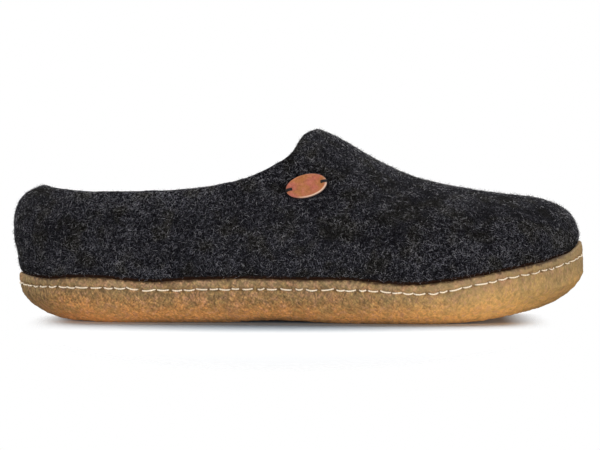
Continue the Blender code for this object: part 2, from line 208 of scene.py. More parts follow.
# Colours of the crepe from the rim (0) to the tread (1), at the heel and at the toe, and of its marks
# Paler towards the tread is partly the rubber's own colour and partly painted light from the white floor;
# the darker band below the rim at the heel is partly painted shade under the felt
CREPE_HEEL = (
    (0.00, (0.290, 0.190, 0.094)),
    (0.26, (0.232, 0.140, 0.057)),
    (0.50, (0.350, 0.183, 0.064)),
    (0.82, (0.620, 0.272, 0.082)),
)
CREPE_TOE = (
    (0.00, (0.310, 0.208, 0.100)),
    (0.26, (0.390, 0.242, 0.096)),
    (0.50, (0.540, 0.322, 0.110)),
    (0.82, (0.760, 0.405, 0.122)),
)
CREPE_ENDS = (0.340, 0.235, 0.110)
CREPE_STREAK = (0.150, 0.088, 0.034)
# Painted shade: in the stitch holes, at the rim's top under the felt, and along the tread's edge by the
# floor
CREPE_PIT_SHADE = (0.100, 0.052, 0.026)
CREPE_LIP_SHADE = (0.050, 0.024, 0.012)
CREPE_TREAD_EDGE_SHADE = (0.150, 0.085, 0.042)

# Clouds of another colour in crepe and leather: noise at which they start and are full, share and colour
CLOUD = "start full share colour"
CREPE_BLUSH = table(
    CLOUD,
    (0.55, 0.72, 0.30, (0.470, 0.210, 0.115)),
    (0.45, 0.30, 0.30, (0.300, 0.205, 0.085)),
)
CREPE_SPOTS = table(
    CLOUD,
    (0.54, 0.66, 0.34, (0.520, 0.270, 0.160)),
    (0.46, 0.34, 0.34, (0.270, 0.200, 0.072)),
)
CREPE_CRUMBS = table(
    CLOUD,
    (0.52, 0.72, 0.28, (0.680, 0.400, 0.150)),
    (0.46, 0.28, 0.28, (0.220, 0.112, 0.040)),
)
LEATHER_FLECKS = table(
    CLOUD,
    (0.52, 0.70, 0.45, (0.640, 0.240, 0.140)),
    (0.48, 0.30, 0.45, (0.330, 0.095, 0.040)),
)
LEATHER_PORES = table(CLOUD, (0.50, 0.28, 0.55, (0.210, 0.055, 0.030)))

# Running stitch of two twisted plies, sewn by hand: uneven, sagging, sunk at its ends and thinner at the toe
STITCH_PITCH = 0.0061
STITCH_PITCH_SPREAD = 0.30
STITCH_SHARE = (0.64, 0.96)
STITCH_WANDER = 0.00022
STITCH_TILT = 0.15
STITCH_SAG = 0.00062
STITCH_SAG_SPREAD = (0.2, 1.0)
STITCH_DIVE = 0.0010
STITCH_DIVE_POWER = 8
PLY_RADIUS = 0.00027
PLY_OFFSET = 0.00015
PLY_TWIST = 0.0019
TOE_THINNER = 0.42
STITCH_POINTS = 18
STITCH_SIDES = 6
SPACING_SEED = 5
SEWING_SEED = 8

# Mesh density of the sole
COLUMNS = 1100
ROLL_STEPS = 26
SIDE_STEPS = 40
CENTRE_SHARES = (0.90, 0.70, 0.50, 0.32, 0.16, 0.0)
CUP_SHARES = (0.0, 0.4, 0.8)
DENSE = 1400

# CAD forms made finer: reach of the weld, widest angles at which triangles are joined, rounds of smoothing
WELD = 1e-6
JOIN_ANGLE = math.radians(40.0)
JOIN_SHAPE = math.radians(60.0)
FINER_ROUNDS = 2

# Soft folds of the felt, and swells and hollows of its form at toe, heel, collar and throat: share of the
# length, height in metres, the side they are on (-1 outer, 1 inner, 0 both), half sizes across and along,
# depth in metres (negative stands out) and lean in degrees. One on a side fades at the middle.
FOLDS = table(
    "along height side across reach depth lean",
    (0.655, 0.030, -1, 0.0050, 0.011, 0.0007, -8.0),
    (0.690, 0.033, -1, 0.0060, 0.013, -0.0005, -12.0),
    (0.640, 0.034, 1, 0.0060, 0.014, 0.0008, 10.0),
    (0.690, 0.058, 0, 0.0100, 0.020, 0.0006, -30.0),
    (0.520, 0.076, -1, 0.0060, 0.012, 0.0006, 18.0),
    (0.500, 0.070, 1, 0.0070, 0.014, 0.0007, -16.0),
    (0.140, 0.043, -1, 0.0090, 0.018, 0.0005, 12.0),
    (0.090, 0.036, 1, 0.0080, 0.016, 0.0006, -10.0),
    (0.330, 0.040, 0, 0.0140, 0.020, 0.0006, 5.0),
    (0.900, 0.050, 0, 0.0080, 0.018, -0.0004, 40.0),
    (0.980, 0.047, 0, 0.0120, 0.007, -0.0008, 0.0),
    (0.988, 0.037, 0, 0.0120, 0.005, 0.0002, 0.0),
    (0.966, 0.055, 0, 0.0080, 0.006, -0.0007, 0.0),
    (0.004, 0.040, 0, 0.0100, 0.006, -0.0006, 0.0),
    (0.004, 0.028, 0, 0.0100, 0.007, 0.0008, 0.0),
    (0.905, 0.062, 0, 0.0180, 0.010, 0.0010, 0.0),
    (0.020, 0.063, 0, 0.0100, 0.008, -0.0005, 0.0),
    (0.088, 0.066, 0, 0.0060, 0.006, 0.0002, 0.0),
    (0.180, 0.065, 1, 0.0340, 0.007, 0.0008, 0.0),
    (0.560, 0.092, 0, 0.0080, 0.008, -0.0007, 0.0),
    (0.620, 0.083, 0, 0.0100, 0.010, 0.0006, 0.0),
)
FOLD_FADE = 0.02

# Soft lumps of the felt: size and rise of each scale
FELT_LUMPS = table("size rise", (0.022, 0.00045), (0.0080, 0.00028), (0.0034, 0.00016))
INSOLE_LUMPS = table("size rise", (0.018, 0.00025), (0.0040, 0.00012))
INSOLE_MOST_RISE = 0.0001

# Line along the middle of the slipper, which tells the felt's outside from its inside
CORE_HEIGHT = 0.035
CORE_HALF = 0.40 * LENGTH

# Foot of the felt: it bulges a little over the rim and tucks in behind it, where the crease gets painted
# shade.
# Lumps and folds grow from just below the rim's top.
TUCK = 0.0004
TUCK_HEIGHT = 0.0016
BULGE = 0.0005
BULGE_HEIGHT = 0.0050
CREASE_SHADE_HEIGHT = 0.0014
FREE_BELOW = 0.0005
FREE_HEIGHT = 0.004

# Colours of the felts: bluish and brownish ground and strands, painted shade in the crease over the rim, and
# the footbed
FELT_GROUND = ((0.0036, 0.0034, 0.0052), (0.0044, 0.0039, 0.0036))
FELT_STRAND = ((0.160, 0.158, 0.182), (0.156, 0.150, 0.142))
FELT_CREASE_SHADE = (0.0300, 0.0130, 0.0072)
INSOLE_WOOL = ((0.0612, 0.0600, 0.0588), (0.1092, 0.1050, 0.1008))
INSOLE_STRAND = (0.206, 0.200, 0.194)

# Towards the toe the felt's fibres stand out more: where that starts and is full, its power and its gain
CONTRAST_SPAN = (0.35, 0.85)
CONTRAST_POWER = 1.65
CONTRAST_GAIN = 1.50

# Net of curly fibres in the felt's colour: spacing of the lines, width, strength and shift of the noise
LINE_CURL = 0.8
FELT_NET = table(
    "size width strength shift",
    (0.0026, 0.030, 0.85, 1.3),
    (0.0019, 0.036, 0.80, 5.9),
)

# Straight fibres in the felt's colour
FELT_STROKES = table(
    STROKE,
    (0.00048, 22.0, 1.00, 2.1),
    (0.00048, 78.0, 1.00, 4.7),
    (0.00048, -36.0, 1.00, 8.8),
    (0.00048, -70.0, 1.00, 13.9),
)
STROKE_STRETCH = 0.16

# Zones where pale wool gathers or is scarce: shares of the length, heights in metres, half sizes and amount.
# The first three are painted light, a paler band just below the collar's edge, and the one at 0.511 is
# painted shade round the tag.
ZONES = table(
    "along height across reach pale",
    (0.170, 0.062, 0.028, 0.006, 0.50),
    (0.300, 0.061, 0.030, 0.007, 0.40),
    (0.400, 0.067, 0.020, 0.007, 0.25),
    (0.030, 0.047, 0.012, 0.014, 0.25),
    (0.695, 0.063, 0.018, 0.009, -0.42),
    (0.875, 0.056, 0.015, 0.008, -0.45),
    (0.890, 0.042, 0.025, 0.006, 0.30),
    (0.580, 0.034, 0.015, 0.008, 0.20),
    (0.385, 0.052, 0.018, 0.008, -0.38),
    (0.511, 0.065, 0.010, 0.007, -0.25),
    (0.556, 0.069, 0.006, 0.010, 0.30),
    (0.570, 0.046, 0.018, 0.008, -0.40),
    (0.785, 0.032, 0.018, 0.012, 0.38),
    (0.935, 0.033, 0.016, 0.009, 0.35),
    (0.690, 0.026, 0.008, 0.005, 0.40),
    (0.058, 0.061, 0.008, 0.007, -0.35),
    (0.231, 0.051, 0.007, 0.006, 0.35),
    (0.476, 0.040, 0.008, 0.006, 0.30),
)

# Patches of paler and darker wool over the whole felt, and finer clumps that grow towards the toe
PATCH_SIZE = 0.015
PATCH_TONE = 0.55
PATCH_SHIFT = 6.3
CLUMP_SIZE = 0.0060
CLUMP_TONE = 0.85
CLUMP_SHIFT = 9.4

# Wool fibres: how many, points of each, shortest and longest, thickness, lift in the middle and at the tip,
# seed, and the share of each dye
FIBRES = table(
    "name count points length radius lift tip seed shares",
    ("wool_fibres", 9800, 4, (0.0010, 0.0028), 7.0e-5, 1.4e-4, 1.0e-4, 11, (0.32, 0.32, 0.20, 0.16)),
    ("wool_fuzz_1", 14000, 3, (0.0007, 0.0017), 5.5e-5, 2.5e-4, 6.0e-4, 12, (0.26, 0.30, 0.26, 0.18)),
    ("wool_fuzz_2", 14000, 3, (0.0008, 0.0018), 5.0e-5, 4.0e-4, 1.5e-3, 13, (0.10, 0.30, 0.36, 0.24)),
)
FIBRE_SIDES = 3
FIBRE_BEND = 420.0
FIBRE_BEND_SPREAD = 0.6
FIBRE_SWING = 0.7
FIBRE_LIFT_SPREAD = (0.3, 1.0)
FIBRE_ROOT_SINK = 0.00003
FIBRE_TAPER = 0.55
FIBRE_RADIUS_SPREAD = (0.7, 1.25)
FIBRE_CLEARANCE = 0.0004
INSIDE_SHARE = 0.15

# Dyes of the wool blend, the pale ones first. A zone swaps some pale dyes for dark ones, or the reverse.
DYES = (
    ("wool_pale", (0.375, 0.367, 0.385)),
    ("wool_grey", (0.095, 0.093, 0.104)),
    ("wool_blue_black", (0.0068, 0.0064, 0.0090)),
    ("wool_brown_black", (0.0082, 0.0072, 0.0064)),
)
PALE_DYES = 2
DYE_SWAP = 1.2

# Leather tag: its colours, the way down to its rim with the painted highlight, the painted shade on the felt
# around it, and its thread bars, which start and end at distances in from the ends of the tag
LEATHER_HIDE = ((0.500, 0.132, 0.090), (0.450, 0.165, 0.046))
LEATHER_RIM_HIGHLIGHT = (0.850, 0.610, 0.460)
LEATHER_EDGE = (0.120, 0.040, 0.022)
TAG_DOWN = (0.6, -0.8)
TAG_SHADE = 0.85
TAG_SHADE_END = 1.15
TAG_SHADE_DEPTH = 0.006
BAR_START = 0.0029
BAR_END = 0.0001
BAR_RADIUS = 0.00042
BAR_SPACING = 0.00070
BAR_SINK = 0.0006
BAR_SINK_POWER = 5
BAR_DROP = 0.01
BAR_POINTS = 14
BAR_SIDES = 8

# Threads: the darker and the paler tone of each
CREAM_THREAD = ((0.94, 0.78, 0.58), (1.00, 0.89, 0.72))
BLACK_THREAD = ((0.006, 0.005, 0.005), (0.014, 0.012, 0.012))

# Camera: the photograph shows the outer side from a little above, half a millimetre to a pixel
CAMERA_DISTANCE = 1.25
CAMERA_HEIGHT = 0.087
AIM = Vector((0.00055, 0.0, 0.0466))
FRAME_WIDTH = 0.2992
SENSOR = 36.0

# Studio: a wide soft key above and behind, a low fill from the camera's side, a small low light at each end,
# and a floor with a painted shadow by the sole's near edge, which fades out under the ends of the toe and
# heel and fades into white farther off
LIGHTS = table(
    "name place size power",
    ("key", (0.00, 0.50, 1.09), (3.0, 0.80), 33.8),
    ("fill", (0.00, -1.65, 0.12), (1.8, 0.20), 11.6),
    ("toe_side", (0.95, -0.80, 0.07), (0.6, 0.13), 6.7),
    ("heel_side", (-1.12, -0.30, 0.13), (0.6, 0.22), 4.6),
)
LIGHT_AIM = Vector((0.0, 0.0, 0.02))
WORLD_LIGHT = 0.09
FLOOR_SIZE = 1.4
FLOOR_COLOUR = (0.880, 0.888, 0.896)
FLOOR_SHADE = (0.370, 0.450, 0.530)
FLOOR_SHADE_LONG = 0.66
FLOOR_SHADE_CENTRE = (0.0, -0.026, 0.0)
FLOOR_SHADE_REACH = (0.020, 0.080)
FLOOR_NARROW = 2.3
FLOOR_SOLID = 0.24
FLOOR_GONE = 0.30
FLOOR_BACK = 0.005


def ease(share):
    """0 to 1 with a smooth start and end."""
    share = np.clip(share, 0.0, 1.0)
    return share * share * (3.0 - 2.0 * share)


def bell(distance, width):
    """1 in the middle, falling off smoothly over a width."""
    return np.exp(-((distance / width) ** 2))


def spline(knots, values, at):
    """Natural cubic spline through the knots, read at any places."""
    knots, values, at = (np.asarray(given, float) for given in (knots, values, at))
    step = np.diff(knots)
    system = np.diag(2.0 * (step[:-1] + step[1:])) + np.diag(step[1:-1], 1) + np.diag(step[1:-1], -1)
    bend = np.zeros(len(knots))
    bend[1:-1] = np.linalg.solve(system, 6.0 * np.diff(np.diff(values) / step))
    i = np.clip(np.searchsorted(knots, at) - 1, 0, len(step) - 1)
    since = at - knots[i]
    until = knots[i + 1] - at
    curved = (bend[i] * until**3 + bend[i + 1] * since**3) / (6.0 * step[i])
    left = (values[i] / step[i] - bend[i] * step[i] / 6.0) * until
    right = (values[i + 1] / step[i] - bend[i + 1] * step[i] / 6.0) * since
    return curved + left + right


def read(rows, name, along):
    """A column of a table, read between its rows."""
    return spline([row.along for row in rows], [getattr(row, name) for row in rows], along)


def lengths_along(points):
    """Distance from the first point to each point of a line."""
    steps = np.linalg.norm(np.diff(points, axis=0), axis=1)
    return np.concatenate([[0.0], np.cumsum(steps)])


def lumps(points, size, shift=0.0):
    """Soft noise of about this size at each point, from -1 to 1."""
    return np.array([noise.noise(point) for point in (points / size + shift).tolist()])


def unit(vectors):
    """Unit vectors."""
    return vectors / np.maximum(np.linalg.norm(vectors, axis=-1, keepdims=True), 1e-12)


def softened(values):
    """Values in order, with each inner one drawn towards its neighbours, twice."""
    values = values.copy()
    for _ in range(2):
        values[1:-1] = 0.25 * values[:-2] + 0.5 * values[1:-1] + 0.25 * values[2:]
    return values


# Sole outline

def plan_ring():
    """The sole's outline as a ring of evenly spaced columns: heel, lateral side, toe, medial side."""
    heel = (SOLE_HEEL, 0.0)
    toe = (LENGTH, TOE_SHIFT)
    lateral = [(SOLE_HEEL + s.along * SOLE_LENGTH, -s.lateral * BALL_WIDTH) for s in SOLE_PLAN]
    medial = [(SOLE_HEEL + s.along * SOLE_LENGTH, s.medial * BALL_WIDTH) for s in SOLE_PLAN]
    once = [heel, *lateral, toe, *reversed(medial)]
    wrap = 4
    ring = np.array(once[-wrap:] + once + once[: wrap + 1])
    run = lengths_along(ring)
    at = np.linspace(run[wrap], run[wrap + len(once)], DENSE)
    dense = np.stack([spline(run, ring[:, axis], at) for axis in range(2)], axis=1)
    dense_run = lengths_along(dense)
    even = np.linspace(0.0, dense_run[-1], COLUMNS, endpoint=False)
    return np.stack([np.interp(even, dense_run, dense[:, axis]) for axis in range(2)], axis=1)


def outward(ring):
    """Outward direction in plan at each column of a ring that runs anticlockwise."""
    along = unit(np.roll(ring, -1, axis=0) - np.roll(ring, 1, axis=0))
    return np.stack([along[:, 1], -along[:, 0]], axis=1)


SOLE_EDGE = plan_ring()
SOLE_OUTWARD = outward(SOLE_EDGE)
EDGE_X = SOLE_EDGE[:, 0]
SIDE_SHIFT = 0.5 * (SOLE_BOX[0].y + SOLE_BOX[1].y - SOLE_EDGE[:, 1].min() - SOLE_EDGE[:, 1].max())
TO_FRAME = np.array((HEEL_X, SIDE_SHIFT, 0.0))


def sole_ring(inset):
    """The sole's outline, drawn in by a distance that may differ from column to column."""
    return SOLE_EDGE - SOLE_OUTWARD * np.broadcast_to(inset, COLUMNS)[:, None]


def tread_height(x):
    """Underside of the sole along its length."""
    heel = HEEL_SPRING * np.clip(HEEL_FLAT[0] - x, 0.0, None) ** 2
    toe = TOE_SPRING * np.clip(x - FOREFOOT_FLAT[1], 0.0, None) ** 2
    waist = np.clip((x - HEEL_FLAT[1]) / (FOREFOOT_FLAT[0] - HEEL_FLAT[1]), 0.0, 1.0)
    return heel + toe + ARCH_LIFT * np.sin(math.pi * waist) ** 2


def rim_height(x, line="rim"):
    """Top of the sole's rim, or the line of its stitching."""
    return RIM_HEIGHT * read(RIM_LINE, line, np.clip((x - SOLE_HEEL) / SOLE_LENGTH, 0.0, 1.0))


def near_heel(x, end):
    """1 at the back of the heel, easing to 0 at an end."""
    return ease((end - x) / end)


def near_toe(x):
    """0 up to where the toe's roll starts, easing to 1 at the tip."""
    return ease((x - TOE_ROLL_START) / (LENGTH - TOE_ROLL_START))


def roll_run(x):
    """How far the rolled edge reaches in under the sole."""
    heel = (HEEL_ROLL - SIDE_ROLL) * near_heel(x, HEEL_ROLL_END)
    toe = (TOE_ROLL - SIDE_ROLL) * near_toe(x)
    return SIDE_ROLL + heel + toe


def heel_flare(x):
    """How far the back of the heel leans in below the stitching."""
    return HEEL_FLARE * near_heel(x, HEEL_FLARE_END)


def side_depth(x, depth):
    """Depth of a row of the side below the rim's top. The lower rows lie deeper at the heel and toe."""
    deeper = HEEL_DEEPER * near_heel(x, HEEL_FLARE_END) + TOE_DEEPER * near_toe(x)
    return depth * (1.0 + deeper * (depth / SIDE_ROWS[0].below) ** 2)


def lifted(ring, height):
    """A plan ring with its heights, as points in space."""
    return np.column_stack([ring, np.broadcast_to(height, len(ring))])


def towards_centre(ring, share):
    """A ring drawn in towards the sole's middle line."""
    first, last = (SOLE_HEEL + end * SOLE_LENGTH for end in MIDDLE_LINE)
    middle_x = np.clip(ring[:, 0], first, last)
    middle = np.column_stack([middle_x, TOE_SHIFT * (middle_x / LENGTH) ** 2])
    return ring + (middle - ring) * share


# Stitch places

AROUND = lengths_along(np.vstack([SOLE_EDGE, SOLE_EDGE[:1]]))
PERIMETER = AROUND[-1]


def stitch_spans():
    """Start and end of each stitch as a distance round the sole, a little uneven as sewn by hand."""
    draw = np.random.default_rng(SPACING_SEED)
    count = round(PERIMETER / STITCH_PITCH)
    pitches = 1.0 + STITCH_PITCH_SPREAD * draw.uniform(-1.0, 1.0, count)
    starts = np.concatenate([[0.0], np.cumsum(pitches)]) * PERIMETER / pitches.sum()
    shares = draw.uniform(*STITCH_SHARE, count)
    return np.column_stack([starts[:-1], starts[:-1] + np.diff(starts) * shares])


STITCHES = stitch_spans()


def read_ring(ring, at):
    """Points of a ring of columns at distances round the sole."""
    closed = np.vstack([ring, ring[:1]])
    return np.stack([np.interp(at % PERIMETER, AROUND, column) for column in closed.T], axis=1)


def pit_distance():
    """Distance of each column from the nearest end of a stitch."""
    ends = STITCHES.ravel()
    apart = np.abs(AROUND[:-1, None] - ends[None, :])
    return np.minimum(apart, PERIMETER - apart).min(axis=1)


# Meshes

def add_object(name, data):
    """An object in the scene."""
    made = bpy.data.objects.new(name, data)
    bpy.context.scene.collection.objects.link(made)
    return made


def mesh_from(bm, name):
    """A mesh from a bmesh, which is freed."""
    mesh = bpy.data.meshes.new(name)
    bm.to_mesh(mesh)
    bm.free()
    return mesh


def loft(name, rings):
    """A mesh through rings of equal count, filled across at its two ends."""
    bm = bmesh.new()
    made = [[bm.verts.new(point) for point in ring] for ring in rings]
    for lower, upper in zip(made, made[1:]):
        for k in range(len(lower)):
            after = (k + 1) % len(lower)
            bm.faces.new((lower[k], lower[after], upper[after], upper[k]))
    close_across(bm, made[0])
    close_across(bm, made[-1])
    bmesh.ops.recalc_face_normals(bm, faces=bm.faces)
    mesh = mesh_from(bm, name)
    mesh.shade_smooth()
    return mesh


def close_across(bm, ring):
    """Fills a ring with strips from its lateral to its medial columns."""
    half = len(ring) // 2
    bm.faces.new((ring[0], ring[1], ring[-1]))
    for k in range(1, half - 1):
        bm.faces.new((ring[k], ring[k + 1], ring[-k - 1], ring[-k]))
    bm.faces.new((ring[half - 1], ring[half], ring[half + 1]))


def tubes(name, lines, radii, sides, first_side):
    """Closed tubes, all in one mesh. Lines and first_side are arrays of strand, point and axis."""
    count, points = radii.shape
    along = unit(np.gradient(lines, axis=1))
    one = unit(first_side - along * (first_side * along).sum(axis=2, keepdims=True))
    two = np.cross(along, one)
    turn = np.linspace(0.0, 2.0 * math.pi, sides, endpoint=False)[:, None]
    ring = np.cos(turn) * one[:, :, None, :] + np.sin(turn) * two[:, :, None, :]
    corners = lines[:, :, None, :] + ring * radii[:, :, None, None]
    first = (np.arange(count) * points * sides)[:, None, None]
    low = first + np.arange(points - 1)[None, :, None] * sides
    here = low + np.arange(sides)
    after = low + (np.arange(sides) + 1) % sides
    quads = np.stack([here, after, after + sides, here + sides], axis=-1).reshape(-1, 4)
    start_cap = first[:, 0] + np.arange(sides)[::-1]
    end_cap = first[:, 0] + (points - 1) * sides + np.arange(sides)
    mesh = bpy.data.meshes.new(name)
    mesh.from_pydata(corners.reshape(-1, 3), [], quads.tolist() + start_cap.tolist() + end_cap.tolist())
    mesh.shade_smooth()
    return mesh


def read_vectors(items, name):
    """A vector of each item in a mesh's list, one to a row."""
    found = np.empty(len(items) * 3, np.float32)
    items.foreach_get(name, found)
    return found.reshape(-1, 3).astype(float)


def positions(mesh):
    return read_vectors(mesh.vertices, "co")


def normals(mesh):
    return read_vectors(mesh.vertex_normals, "vector")


def set_positions(mesh, points):
    mesh.vertices.foreach_set("co", points.astype(np.float32).ravel())
    mesh.update()


def set_values(mesh, name, values):
    """Keeps a number at each vertex, for the material to read."""
    made = mesh.attributes.new(name, "FLOAT", "POINT")
    made.data.foreach_set("value", values.astype(np.float32))


def tree_of(piece):
    """A piece's surface, to be searched for its nearest point or where a ray meets it."""
    bm = bmesh.new()
    bm.from_mesh(piece.data)
    tree = BVHTree.FromBMesh(bm)
    bm.free()
    return tree


def smooth_copy(node):
    """A CAD node's form as a fine smooth mesh."""
    bm = bmesh.new()
    bm.from_mesh(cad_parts[node].data)
    bmesh.ops.remove_doubles(bm, verts=bm.verts, dist=WELD)
    limits = {"angle_face_threshold": JOIN_ANGLE, "angle_shape_threshold": JOIN_SHAPE}
    bmesh.ops.join_triangles(bm, faces=bm.faces, **limits)
    carrier = add_object(node + "_coarse", mesh_from(bm, node + "_coarse"))
    finer = carrier.modifiers.new("finer", "SUBSURF")
    finer.levels = FINER_ROUNDS
    finer.render_levels = FINER_ROUNDS
    graph = bpy.context.evaluated_depsgraph_get()
    mesh = bpy.data.meshes.new_from_object(carrier.evaluated_get(graph))
    bpy.data.objects.remove(carrier)
    mesh.shade_smooth()
    return mesh


def add_piece(name, mesh, *looks, replaces=None, slot=None):
    """A visible piece of the slipper."""
    mesh.name = name
    mesh.materials.clear()
    for look in looks:
        mesh.materials.append(look)
    piece = add_object(name, mesh)
    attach(piece, "root")
    if replaces:
        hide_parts(replaces)
    return piece


# Materials

class Look:
    """A material in the making: a Principled shader and the nodes that feed it."""

    def __init__(self, name, **constants):
        self.material = bpy.data.materials.new(name)
        self.material.use_nodes = True
        self.tree = self.material.node_tree
        self.shader = self.tree.nodes["Principled BSDF"]
        self.shade(**constants)

    def feed(self, socket, value):
        """Links or sets an input. Colours are given without alpha."""
        if isinstance(value, bpy.types.NodeSocket):
            self.tree.links.new(value, socket)
        elif socket.type == "RGBA":
            socket.default_value = (*value, 1.0)
        else:
            socket.default_value = value

    def shade(self, **inputs):
        """Sets or links the shader's inputs, named with underscores for spaces."""
        for name, value in inputs.items():
            self.feed(self.shader.inputs[name.replace("_", " ")], value)

    def add(self, kind, output, inputs, **settings):
        """A node of a kind, its settings and inputs, and the output that is wanted."""
        made = self.tree.nodes.new("ShaderNode" + kind)
        for name, value in settings.items():
            setattr(made, name, value)
        for name, value in inputs.items():
            self.feed(made.inputs[name], value)
        return made.outputs[output]

    def place(self, stretch=(1.0, 1.0, 1.0), shift=0.0, lean=0.0):
        """Position on the slipper, leaned about Y in degrees, then stretched and shifted."""
        where = self.add("TexCoord", "Object", {})
        if lean:
            turn = (0.0, math.radians(lean), 0.0)
            where = self.add("Mapping", "Vector", {"Vector": where, "Rotation": turn})
        inputs = {"Vector": where, "Scale": stretch, "Location": (shift, shift, shift)}
        return self.add("Mapping", "Vector", inputs)

    def value(self, attribute):
        """A number that the mesh holds at each vertex."""
        return self.add("Attribute", "Fac", {}, attribute_name=attribute)

    def grain(self, size, detail=2.0, rough=0.5, distortion=0.0, **placing):
        """Noise from 0 to 1 with features of about this size, leaned, stretched and shifted if asked."""
        inputs = {
            "Vector": self.place(**placing),
            "Scale": 1.0 / size,
            "Detail": detail,
            "Roughness": rough,
            "Distortion": distortion,
        }
        return self.add("TexNoise", "Fac", inputs)

    def strokes(self, stroke, stretch, detail=1.0):
        """Noise drawn out into short lines."""
        drawn_out = (1.0, 1.0, stretch)
        return self.grain(stroke.size, detail, stretch=drawn_out, shift=stroke.shift, lean=stroke.lean)

    def math(self, operation, first, second=0.0):
        return self.add("Math", 0, {0: first, 1: second}, operation=operation)

    def times(self, first, second):
        return self.math("MULTIPLY", first, second)

    def remap(self, value, low, high, to_low=0.0, to_high=1.0):
        """A value between two limits, eased onto a new range."""
        inputs = {"Value": value, "From Min": low, "From Max": high, "To Min": to_low, "To Max": to_high}
        return self.add("MapRange", "Result", inputs, interpolation_type="SMOOTHSTEP")

    def thread_lines(self, size, width, shift):
        """Thin curly lines, 1 along the line and 0 elsewhere."""
        field = self.grain(size, detail=1.0, distortion=LINE_CURL, shift=shift)
        off = self.math("ABSOLUTE", self.math("SUBTRACT", field, 0.5))
        return self.remap(off, 0.0, width, 1.0, 0.0)

    def mix(self, share, first, second, blend="MIX"):
        """The first colour with a share of the second."""
        inputs = {0: share, 6: first, 7: second}
        return self.add("Mix", 2, inputs, data_type="RGBA", blend_type=blend)

    def clouded(self, base, field, clouds, weight=1.0):
        """A colour with clouds of other colours where the noise asks for them."""
        for cloud in clouds:
            share = self.remap(field, cloud.start, cloud.full, 0.0, cloud.share)
            base = self.mix(self.times(share, weight), base, cloud.colour)
        return base

    def ramp(self, value, stops):
        """Colours along a value, as pairs of place and colour."""
        made = self.tree.nodes.new("ShaderNodeValToRGB")
        self.feed(made.inputs["Fac"], value)
        while len(made.color_ramp.elements) < len(stops):
            made.color_ramp.elements.new(0.5)
        for element, (at, colour) in zip(made.color_ramp.elements, stops):
            element.position = at
            element.color = (*colour, 1.0)
        return made.outputs["Color"]

    def bump(self, *heights):
        """Fine relief from pairs of height and rise in metres."""
        normal = None
        for height, rise in heights:
            inputs = {"Height": height, "Distance": rise, "Strength": 1.0}
            if normal is not None:
                inputs["Normal"] = normal
            normal = self.add("Bump", "Normal", inputs)
        self.shade(Normal=normal)


def felt_look():
    """Charcoal wool felt: a bluish or brownish black ground under a net of fine grey fibres in clumps."""
    look = Look("felt", Roughness=1.0, Specular_IOR_Level=0.05)
    warm = look.remap(look.grain(0.012, detail=2.0, shift=7.7), 0.46, 0.64)
    clumps = look.grain(0.0065, detail=4.0, rough=0.6, shift=3.1)
    cuts = look.grain(0.0013, detail=1.0, shift=12.4)
    specks = look.grain(0.0005, detail=0.0, shift=6.6)
    net = 0.0
    for line in FELT_NET:
        lines = look.thread_lines(line.size, line.width, line.shift)
        net = look.math("MAXIMUM", net, look.times(lines, line.strength))
    for stroke in FELT_STROKES:
        lines = look.strokes(stroke, STROKE_STRETCH)
        net = look.math("MAXIMUM", net, look.remap(lines, 0.60, 0.71, 0.0, stroke.strength))
    shown = net
    gaps = ((clumps, 0.34, 0.64, 0.65), (cuts, 0.36, 0.60, 0.65), (specks, 0.40, 0.60, 0.08))
    for field, low, high, least in gaps:
        shown = look.times(shown, look.remap(field, low, high, least, 1.0))
    along = look.value("along")
    shown = look.math("POWER", shown, look.remap(along, *CONTRAST_SPAN, 1.0, CONTRAST_POWER))
    shown = look.times(shown, look.remap(along, *CONTRAST_SPAN, 1.0, CONTRAST_GAIN))
    shown = look.times(shown, look.math("ADD", look.value("pale"), 1.0))
    wool = look.mix(shown, look.mix(warm, *FELT_GROUND), look.mix(warm, *FELT_STRAND))
    # Painted shade in the crease where the felt meets the rim, with a ragged edge
    ragged = look.math("ADD", look.value("crease"), look.remap(cuts, 0.2, 0.8, -0.25, 0.25))
    look.shade(Base_Color=look.mix(look.remap(ragged, 0.30, 0.70), wool, FELT_CREASE_SHADE))
    look.bump((clumps, 0.0008), (net, 0.0003))
    return look.material


def fibre_look(name, colour):
    """One dye of the wool blend."""
    return Look(name, Base_Color=colour, Roughness=0.75, Specular_IOR_Level=0.25).material


def insole_look():
    """Grey wool felt of the footbed."""
    look = Look("insole_felt", Roughness=0.95, Specular_IOR_Level=0.2)
    look.shade(Sheen_Weight=0.10, Sheen_Roughness=0.5)
    clumps = look.grain(0.0050, detail=3.0, shift=2.3)
    lines = look.thread_lines(0.0020, 0.030, 4.4)
    wool = look.mix(look.remap(clumps, 0.35, 0.68), *INSOLE_WOOL)
    look.shade(Base_Color=look.mix(look.times(lines, 0.6), wool, INSOLE_STRAND))
    look.bump((clumps, 0.0008), (lines, 0.0002))
    return look.material


def crepe_ground(look, low, along, far):
    """The rubber's colour: tan at the rim, honey low down, golden towards the toe, olive at the ends. Paler
    low down is partly its own colour and partly painted light from the white floor; darker below the rim at
    the heel is partly painted shade under the felt.
    """
    drift = look.grain(0.010, detail=3.0, shift=1.7)
    height = look.math("ADD", low, look.remap(drift, 0.28, 0.72, -0.15, 0.15))
    heel = look.ramp(height, CREPE_HEEL)
    toe = look.ramp(height, CREPE_TOE)
    rubber = look.mix(look.remap(along, 0.52, 0.92), heel, toe)
    golden = look.times(look.remap(height, 0.40, 0.75, 0.0, 0.75), look.remap(along, 0.40, 0.60))
    olive = look.times(look.remap(far, 0.40, 0.49, 0.0, 0.60), look.math("SUBTRACT", 1.0, golden))
    return look.mix(olive, rubber, CREPE_ENDS)


